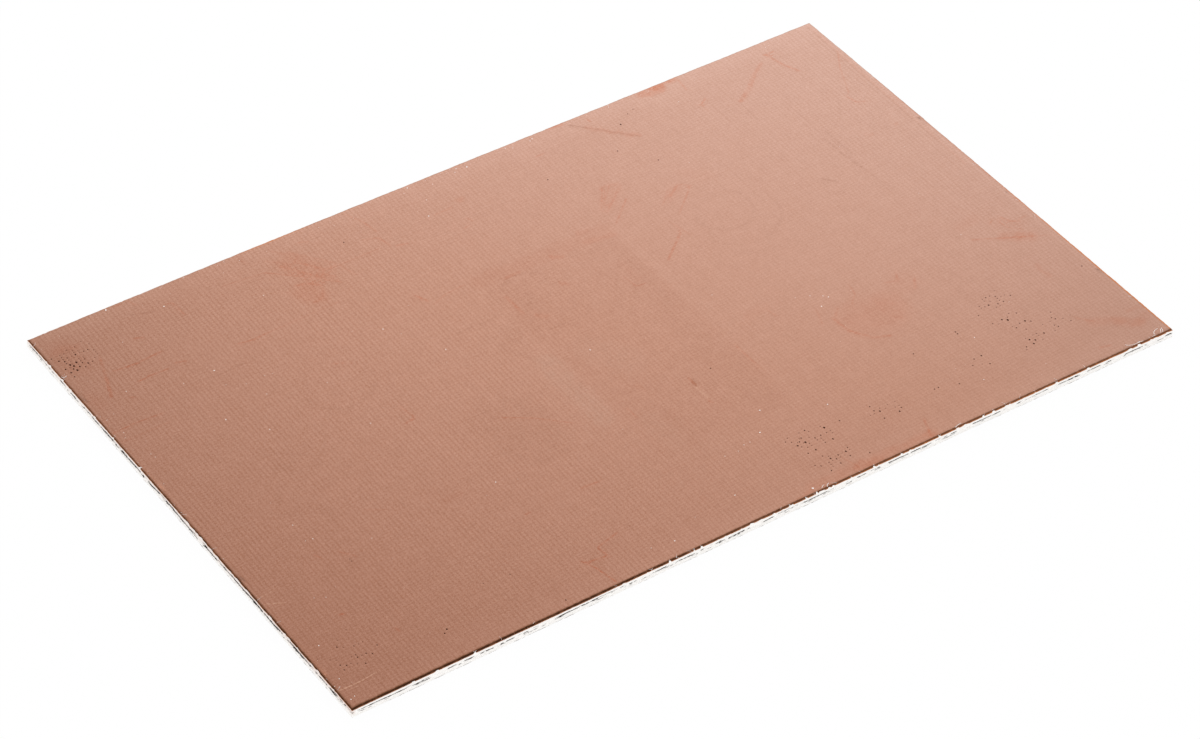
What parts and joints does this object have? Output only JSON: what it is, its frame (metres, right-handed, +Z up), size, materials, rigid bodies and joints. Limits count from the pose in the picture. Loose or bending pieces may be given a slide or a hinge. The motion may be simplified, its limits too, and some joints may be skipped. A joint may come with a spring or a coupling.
{
  "type": "copper clad board",
  "caption": "Flat rectangular blank of glass-epoxy laminate with copper foil on both faces and sheared edges, cut and etched to make circuit boards.",
  "frame": {"origin": "middle of the underside, on the surface that the board lies on", "axes": "+X along the length, +Y across the width, +Z up through the thickness, out of the upper copper face"},
  "size_m": [0.16, 0.1, 0.0016],
  "materials": {
    "copper_top": "satin",
    "laminate": "matte",
    "copper_bottom": "satin"
  },
  "bodies": {
    "root": {"copper_foil_top": "copper_top", "glass_epoxy_core": "laminate", "copper_foil_bottom": "copper_bottom"}
  },
  "joints": []
}
